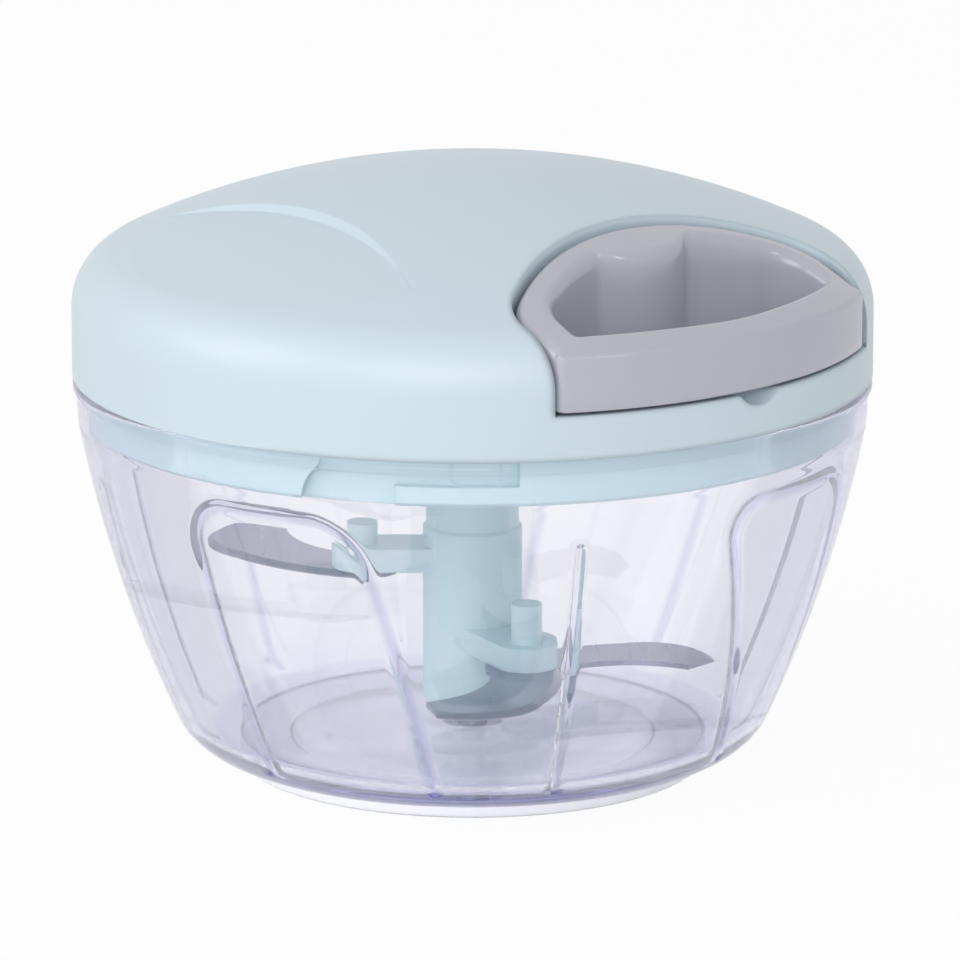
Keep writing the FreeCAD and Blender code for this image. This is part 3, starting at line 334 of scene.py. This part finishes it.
def meshPiece(name, form):
    mesh = bpy.data.meshes.new(name)
    bmesh.ops.recalc_face_normals(form, faces=form.faces)
    form.to_mesh(mesh)
    form.free()
    mesh.shade_smooth()
    mesh.set_sharp_from_angle(angle=math.radians(40))
    piece = bpy.data.objects.new(name, mesh)
    bpy.context.scene.collection.objects.link(piece)
    return piece


def dress(piece, material, body, replaced):
    # A piece that draws out between two bodies has none of its own here
    piece.data.materials.append(material)
    if body:
        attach(piece, body)
    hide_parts(replaced)


# Bowl: one clear moulding whose inner face carries four arches, four ribs and three lugs

bowlShape = {
    "columns": 720, "underside": 2.6, "footRadius": 38.9, "wallFoot": (48.8, 9.0), "footArc": 10.79,
    "bow": 212.0, "collarFoot": (64.1, 57.5), "collarTop": (64.4, 62.7),
    "rimRadius": 64.9, "rimHeight": 65.0, "rimRound": 1.1,
    "bore": 62.0, "innerBow": 209.8, "innerFoot": (46.79, 9.9), "innerArc": 6.23,
    "floorRadius": 41.1, "floorTop": 6.2, "hub": (3.6, 8.2), "hubFillet": 1.6, "hubRound": 1.0,
    # Each arch's legs as directions in degrees: left at the top and foot, right at the top and foot
    "arches": ((-137.5, -135.5, -104.5, -95.5), (-48.0, -35.5, -15.0, -8.0),
               (132.5, 136.0, 165.5, 173.0), (42.5, 46.0, 75.5, 83.0)),
    "legTop": 46.0, "legFoot": 8.0, "archTop": 55.6, "archCorner": 7.5, "beadWidth": 3.2, "beadHeight": 0.4,
    "ribAngles": (-73.8, -163.8, 106.2, 16.2), "ribWidth": 2.0, "ribHeight": 0.7, "ribTop": 50.0,
    "lugAngles": (-89.5, 30.5, 150.5), "lugHeight": 62.7, "lugSize": (8.8, 3.8), "lugReach": 0.35,
    # How much of the thick plastic's tint each of them shows, and the height under which the foot does; the
    # lugs' share is painted shade, a ring on their slopes
    "footThick": 0.5, "footThickTop": 4.1, "beadThick": 0.65, "ribThick": 0.12, "lugSlopeShade": 1.6,
}


def smoothBump(distance, halfWidth):
    # A bead's round section
    return 0.5 + 0.5 * math.cos(math.pi * min(abs(distance) / halfWidth, 1))


def archDistance(legs, radius, degrees, height):
    # Distance to the middle line of an arch's bead: two legs, two rounded corners and a level top
    k = bowlShape
    down = min(max((k["legTop"] - height) / (k["legTop"] - k["legFoot"]), -0.3), 1.05)
    left = legs[0] + (legs[1] - legs[0]) * down
    right = legs[2] + (legs[3] - legs[2]) * down
    away = (degrees - (left + right) / 2 + 180) % 360 - 180
    if abs(away) > 30:
        return 99
    across = radius * math.sin(math.radians(away))
    half = radius * math.sin(math.radians((right - left) / 2)) - k["beadWidth"] / 2
    top = k["archTop"] - k["beadWidth"] / 2
    corner = k["archCorner"]
    x = abs(across)
    if x > half - corner and height > top - corner:
        return abs(math.hypot(x - half + corner, height - top + corner) - corner)
    if x - half > height - top:
        return abs(x - half)
    return abs(height - top)


def ridge(distance, halfWidth, slope):
    # A flat-topped ridge with rounded shoulders
    share = min(max((halfWidth - abs(distance)) / slope, 0), 1)
    return share * share * (3 - 2 * share)


def bowlRelief(radius, angle, height):
    # How far the moulded relief stands into the bowl, and how thick the plastic looks there, with painted
    # shade on the lugs' slopes
    k = bowlShape
    if height < k["floorTop"] - 0.05 and radius > k["footRadius"] - 1.5:
        return 0.0, k["footThick"] * min(max((k["footThickTop"] - height) / 0.8, 0), 1)
    if radius < k["floorRadius"] or height < k["floorTop"] + 0.3:
        return 0.0, 0.0
    if radius > k["bore"] + 0.3 or radius > outerRadius(height) - 1:
        return 0.0, 0.0
    degrees = math.degrees(angle)
    stand = 0.0
    thickTintAndSlopeShade = 0.0
    for legs in k["arches"]:
        rise = smoothBump(archDistance(legs, radius, degrees, height), k["beadWidth"] / 2)
        stand = max(stand, k["beadHeight"] * rise)
        thickTintAndSlopeShade = max(thickTintAndSlopeShade, k["beadThick"] * rise)
    if height < k["ribTop"] + 1:
        fade = min(1, max(0, k["ribTop"] + 1 - height))
        for middle in k["ribAngles"]:
            away = (degrees - middle + 180) % 360 - 180
            across = radius * math.sin(math.radians(away)) if abs(away) < 26 else 99
            rise = fade * ridge(across, k["ribWidth"] / 2, 0.6)
            stand = max(stand, k["ribHeight"] * rise)
            thickTintAndSlopeShade = max(thickTintAndSlopeShade, k["ribThick"] * rise)
    if height > k["lugHeight"] - 4:
        flat = (k["lugSize"][0] - k["lugSize"][1]) / 2
        for middle in k["lugAngles"]:
            away = (degrees - middle + 180) % 360 - 180
            if abs(away) < 12:
                across = max(abs(radius * math.sin(math.radians(away))) - flat, 0)
                rise = ridge(math.hypot(across, height - k["lugHeight"]), k["lugSize"][1] / 2, 0.7)
                stand = max(stand, k["lugReach"] * rise)
                # Painted shade: the lug's tint is a ring on its slopes, not where it is thickest
                thickTintAndSlopeShade = max(thickTintAndSlopeShade, k["lugSlopeShade"] * rise * (1 - rise))
    return -stand, thickTintAndSlopeShade


def outerRadius(height):
    # The outer wall's radius, near enough to tell the wall's two faces apart
    foot, top = bowlShape["wallFoot"], bowlShape["collarFoot"]
    share = min(max((height - foot[1]) / (top[1] - foot[1]), 0), 1)
    return foot[0] + (top[0] - foot[0]) * (1.45 * share - 0.45 * share * share)


def makeBowl():
    k = bowlShape
    rim = k["rimRadius"]
    high = k["rimHeight"]
    hub, hubTop = k["hub"]
    profile = profilePoints([
        (0, k["underside"], 0, 6),
        (k["footRadius"] - 0.5, k["underside"], 0, 1),
        (k["footRadius"], k["underside"], k["footArc"], 18),
        (*k["wallFoot"], k["bow"], 60),
        (*k["collarFoot"], 0, 5),
        (*k["collarTop"], -0.5, 3),
        (rim - 0.05, k["collarTop"][1] + 0.5, 0.4, 3),
        (rim, k["collarTop"][1] + 0.9, 0, 2),
        (rim, high - k["rimRound"], k["rimRound"], 9),
        (rim - k["rimRound"], high, 0, 3),
        (k["bore"] + 0.3, high, 0.3, 3),
        (k["bore"], high - 0.3, 0, 26),
        (k["bore"] - 0.1, k["collarFoot"][1], -k["innerBow"], 120),
        (*k["innerFoot"], -k["innerArc"], 16),
        (k["floorRadius"], k["floorTop"], 0, 12),
        (hub + k["hubFillet"], k["floorTop"], -k["hubFillet"], 5),
        (hub, k["floorTop"] + k["hubFillet"], 0, 2),
        (hub, hubTop - k["hubRound"], k["hubRound"], 5),
        (hub - k["hubRound"], hubTop, 0, 2),
        (0, hubTop),
    ])
    dress(turnedPiece("clearBowl", profile, k["columns"], bowlRelief), bowlSan, "bowl", "bowl")


makeBowl()
print("bowl made")

# Foot pad: a disc of silicone, hollowed a little beneath, seen through the bowl's floor

padShape = {"top": 2.55, "topRound": 0.3, "outer": 38.4, "footRound": 1.1, "rim": 30.0, "rimArc": 0.6,
            "hollow": 0.4, "columns": 160}


def makePad():
    k = padShape
    profile = profilePoints([
        (0, k["hollow"], 0, 4),
        (k["rim"] - k["rimArc"], k["hollow"], -k["rimArc"], 3),
        (k["rim"], 0.0, 0, 1),
        (k["rim"] + k["rimArc"], 0.0, 0, 3),
        (k["outer"] - k["footRound"], 0.0, k["footRound"], 6),
        (k["outer"], k["footRound"], 0, 2),
        (k["outer"], k["top"] - k["topRound"], k["topRound"], 3),
        (k["outer"] - k["topRound"], k["top"], 0, 8),
        (0, k["top"]),
    ])
    dress(turnedPiece("footPad", profile, k["columns"]), padSilicone, "bowl", "base_pad")


makePad()
print("pad made")

# Handle: a moulded ring whose edges are rounded all round, with a boss for the string

handleShape = {
    "middle": 52.5, "bottom": 72.8, "lidRadius": 65.0, "domeCentre": -40.2, "domeRadius": 138.1,
    "corner": 1.1, "outerRound": 1.7, "innerRound": 2.1, "underEdge": 0.3, "soften": 1.0, "steps": 900,
    "rimRound": 0.15, "rimBlend": (0.1, 1.4),  # the round dies out where the handle meets the lid's rim
    # Outlines in plan with the pull along X, each corner with its arc's radius and steps
    "outer": [(41.2, -30.0, 9.0, 20), (46.4, -34.0, 0, 20), (55.19, -34.33, 65.0, 120),
              (56.0, 33.0, 0, 20), (46.4, 32.9, 9.0, 20), (41.2, 29.2, 58.0, 60),
              (33.0, 0.0, 58.0, 60), (41.2, -30.0)],
    "inner": [(38.9, 9.5, -46.0, 30), (42.6, 22.0, -7.5, 20), (48.0, 27.6, 0, 12),
              (52.11, 28.0, -1.5, 8), (53.61, 26.5, -59.8, 110), (53.61, -26.5, -1.5, 8),
              (52.11, -28.0, 0, 12), (48.0, -27.6, -7.5, 20), (42.6, -22.0, -46.0, 30),
              (38.9, -9.5, 13.8, 40), (38.9, 9.5)],
}


def alongPull(x, y, height):
    # A point of a plan drawn with the pull along X, turned to its place and brought to metres
    return Vector((x * math.cos(pullAngle) - y * math.sin(pullAngle),
                   x * math.sin(pullAngle) + y * math.cos(pullAngle), height)) * mm


def softLoop(points, reach):
    # Even steps along a closed outline, then its corners rounded by averaging over a short way
    step = 0.2
    lengths = [math.dist(a, b) for a, b in zip(points, points[1:])]
    total = sum(lengths)
    count = int(total / step)
    spots = []
    leg = 0
    passed = 0.0
    for i in range(count):
        along = total * i / count
        while along > passed + lengths[leg]:
            passed += lengths[leg]
            leg += 1
        share = (along - passed) / lengths[leg]
        spots.append(tuple(a + (b - a) * share for a, b in zip(points[leg], points[leg + 1])))
    span = int(reach / step)
    return [tuple(sum(spots[(i + j) % count][axis] for j in range(-span, span + 1)) / (2 * span + 1)
                  for axis in (0, 1)) for i in range(count)]


def loopReach(loop, middle, angle):
    # How far a closed outline lies from the handle's middle in one direction
    dx, dy = math.cos(angle), math.sin(angle)
    best = 0.0
    for (ax, ay), (bx, by) in zip(loop, loop[1:] + loop[:1]):
        ax, bx = ax - middle, bx - middle
        sideA = dx * ay - dy * ax
        sideB = dx * by - dy * bx
        if sideA * sideB > 0 or sideA == sideB:
            continue
        share = sideA / (sideA - sideB)
        reach = dx * (ax + (bx - ax) * share) + dy * (ay + (by - ay) * share)
        best = max(best, reach)
    return best


def handleTop(x, y):
    # The handle's top follows the lid's dome and turns down at the lid's edge
    k = handleShape
    out = math.hypot(x, y)
    reach = k["domeRadius"] - k["corner"]
    flat = k["lidRadius"] - k["corner"]
    if out <= flat + k["corner"] * flat / reach:
        return k["domeCentre"] + math.sqrt(k["domeRadius"] ** 2 - out ** 2)
    up = k["domeCentre"] + math.sqrt(reach ** 2 - flat ** 2)
    return up + math.sqrt(max(k["corner"] ** 2 - (out - flat) ** 2, 0))


def handleSpot(angle, reach):
    # A point in the handle's own plan, at some distance from its middle
    return handleShape["middle"] + reach * math.cos(angle), reach * math.sin(angle)


def makeHandle():
    k = handleShape
    outer = softLoop(profilePoints(k["outer"]), k["soften"])
    inner = softLoop(profilePoints(k["inner"]), k["soften"])
    form = bmesh.new()
    sections = []
    for i in range(k["steps"]):
        angle = 2 * math.pi * i / k["steps"]
        far = loopReach(outer, k["middle"], angle)
        near = loopReach(inner, k["middle"], angle)
        width = far - near
        rim = k["lidRadius"] - math.hypot(*handleSpot(angle, far))
        share = min(max((rim - k["rimBlend"][0]) / k["rimBlend"][1], 0), 1)
        outerRound = k["rimRound"] + (k["outerRound"] - k["rimRound"]) * share * share * (3 - 2 * share)
        innerRound = k["innerRound"]
        crown = []
        for j in range(9):
            inset = outerRound * (1 - math.cos(math.pi / 2 * j / 8))
            crown.append((inset, outerRound * (1 - math.sin(math.pi / 2 * j / 8))))
        start = outerRound
        stop = width - innerRound
        for j in range(1, 12):
            crown.append((start + (stop - start) * (j / 12) ** 1.4, 0.0))
        for j in range(9):
            inset = width - innerRound * (1 - math.sin(math.pi / 2 * j / 8))
            crown.append((inset, innerRound * (1 - math.cos(math.pi / 2 * j / 8))))
        under = k["underEdge"]
        low = k["bottom"] + under
        section = [(under, k["bottom"]), (0.0, low)]
        edge = handleTop(*handleSpot(angle, far)) - outerRound
        section += [(0.0, low + (edge - low) * j / 5) for j in range(1, 5)]
        section += [(inset, handleTop(*handleSpot(angle, far - inset)) - drop) for inset, drop in crown]
        edge = section[-1][1]
        section += [(width, edge + (low - edge) * j / 6) for j in range(1, 7)]
        section.append((width - under, k["bottom"]))
        ring = []
        for inset, height in section:
            ring.append(form.verts.new(alongPull(*handleSpot(angle, far - inset), height)))
        sections.append(ring)
    for one, two in zip(sections, sections[1:] + sections[:1]):
        for a in range(len(one)):
            b = (a + 1) % len(one)
            form.faces.new((one[a], one[b], two[b], two[a]))
    dress(meshPiece("ringHandle", form), handleAbs, "handle", "pull_handle")


makeHandle()
print("handle made")

# Pull string: it runs from the reel through the guide into the handle

stringShape = {"radius": 0.9, "strands": 3, "lay": 4.2, "rings": 240, "round": 18,
               "winding": (8.63, -9.04), "bend": (27.5, 0.0), "bendLength": 4.0, "end": (36.0, 0.0),
               "height": 81.1, "stretch": (31.0, 35.0)}  # between the last two places it draws out


def makeString():
    k = stringShape
    form = bmesh.new()
    route = [k["winding"], k["bend"], k["end"]]
    lengths = [math.dist(a, b) for a, b in zip(route, route[1:])]
    total = sum(lengths)
    firstWay = math.atan2(route[1][1] - route[0][1], route[1][0] - route[0][0])
    rings = []
    for i in range(k["rings"] + 1):
        along = total * i / k["rings"]
        if along < lengths[0]:
            share = along / lengths[0]
            spot = [a + (b - a) * share for a, b in zip(route[0], route[1])]
        else:
            share = (along - lengths[0]) / lengths[1]
            spot = [a + (b - a) * share for a, b in zip(route[1], route[2])]
        soft = min(max((along - lengths[0]) / k["bendLength"] + 0.5, 0), 1)
        way = firstWay * (1 - soft)
        ring = []
        for j in range(k["round"]):
            angle = 2 * math.pi * j / k["round"]
            twist = angle * k["strands"] + 2 * math.pi * along / k["lay"] * k["strands"]
            out = k["radius"] * (0.9 + 0.1 * math.cos(twist))
            across = out * math.cos(angle)
            ring.append(form.verts.new(alongPull(spot[0] - math.sin(way) * across,
                                                 spot[1] + math.cos(way) * across,
                                                 k["height"] + out * math.sin(angle))))
        rings.append(ring)
    for low, high in zip(rings, rings[1:]):
        for i in range(k["round"]):
            j = (i + 1) % k["round"]
            form.faces.new((low[i], low[j], high[j], high[i]))
    for ring in (rings[0], rings[-1]):
        form.faces.new(ring)
    piece = meshPiece("pullString", form)
    dress(piece, cordNylon, None, "string_run")
    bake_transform(piece)


makeString()
print("string made")

# Floor, camera and light

view = {"distance": 1.4, "elevation": 13.88, "aim": 0.05, "lens": 322.3,
        "shiftX": 0.0078, "shiftY": -0.0225}
floorLook = {"paper": "#F8F8F9", "seenShare": 0.93}  # the rest of it keeps the shadow
worldLook = {"light": 0.6, "seen": 1.0}
lamps = {  # place in metres, size in metres, watts
    "keyLamp": ((-0.2, -1.25, 0.6), 1.0, 6.8),
    "glintLamp": ((0.75, -0.85, 0.85), 0.09, 0.9),
    "leftLamp": ((-1.2, -0.4, 0.7), 1.0, 5.8),
}


def makeCamera():
    camera = bpy.data.objects.new("camera", bpy.data.cameras.new("camera"))
    bpy.context.scene.collection.objects.link(camera)
    tilt = math.radians(view["elevation"])
    camera.location = (0, -view["distance"] * math.cos(tilt),
                       view["aim"] + view["distance"] * math.sin(tilt))
    camera.rotation_euler = (math.pi / 2 - tilt, 0, 0)
    camera.data.sensor_width = 36
    camera.data.lens = view["lens"]
    camera.data.shift_x = view["shiftX"]
    camera.data.shift_y = view["shiftY"]
    camera.data.clip_end = 20
    bpy.context.scene.camera = camera


def seenRays(tree):
    # 1 for the rays that show the background straight on, in gloss or through glass
    rays = addNode(tree, "LightPath")
    seen = addNode(tree, "Math", {"operation": "MAXIMUM"},
                   {0: rays.outputs["Is Camera Ray"], 1: rays.outputs["Is Transmission Ray"]})
    seen = addNode(tree, "Math", {"operation": "MAXIMUM"},
                   {0: seen.outputs[0], 1: rays.outputs["Is Glossy Ray"]})
    return seen.outputs[0]


def makeFloor():
    material, tree = newMaterial("paperFloor")
    paper = addNode(tree, "BsdfDiffuse", {"Color": linear(floorLook["paper"])})
    glow = addNode(tree, "Emission", {"Color": (1, 1, 1, 1), "Strength": 1.0})
    share = addNode(tree, "Math", {"operation": "MULTIPLY", 1: floorLook["seenShare"]}, {0: seenRays(tree)})
    mix = addNode(tree, "MixShader", links={0: share.outputs[0], 1: paper.outputs[0], 2: glow.outputs[0]})
    finishMaterial(tree, mix)
    bpy.ops.mesh.primitive_plane_add(size=6, location=(0, 0, -0.0002))
    floor = bpy.context.object
    floor.name = "floor"
    floor.data.materials.append(material)


def makeWorld():
    world = bpy.data.worlds.new("studio")
    world.use_nodes = True
    tree = world.node_tree
    tree.nodes.clear()
    strength = rampBetween(tree, seenRays(tree), worldLook["light"], worldLook["seen"])
    sky = addNode(tree, "Background", {"Color": (1, 1, 1, 1)}, {"Strength": strength})
    addNode(tree, "OutputWorld", links={"Surface": sky.outputs[0]})
    bpy.context.scene.world = world


def makeLamp(name, where, size, power):
    lamp = bpy.data.objects.new(name, bpy.data.lights.new(name, "AREA"))
    bpy.context.scene.collection.objects.link(lamp)
    lamp.location = where
    lamp.rotation_euler = (Vector((0, 0, 0.06)) - Vector(where)).to_track_quat("-Z", "Y").to_euler()
    lamp.data.shape = "DISK"
    lamp.data.size = size
    lamp.data.energy = power


makeCamera()
makeFloor()
makeWorld()
for name, settings in lamps.items():
    makeLamp(name, *settings)
bpy.context.scene.view_settings.view_transform = "Standard"
print("camera and lights made")
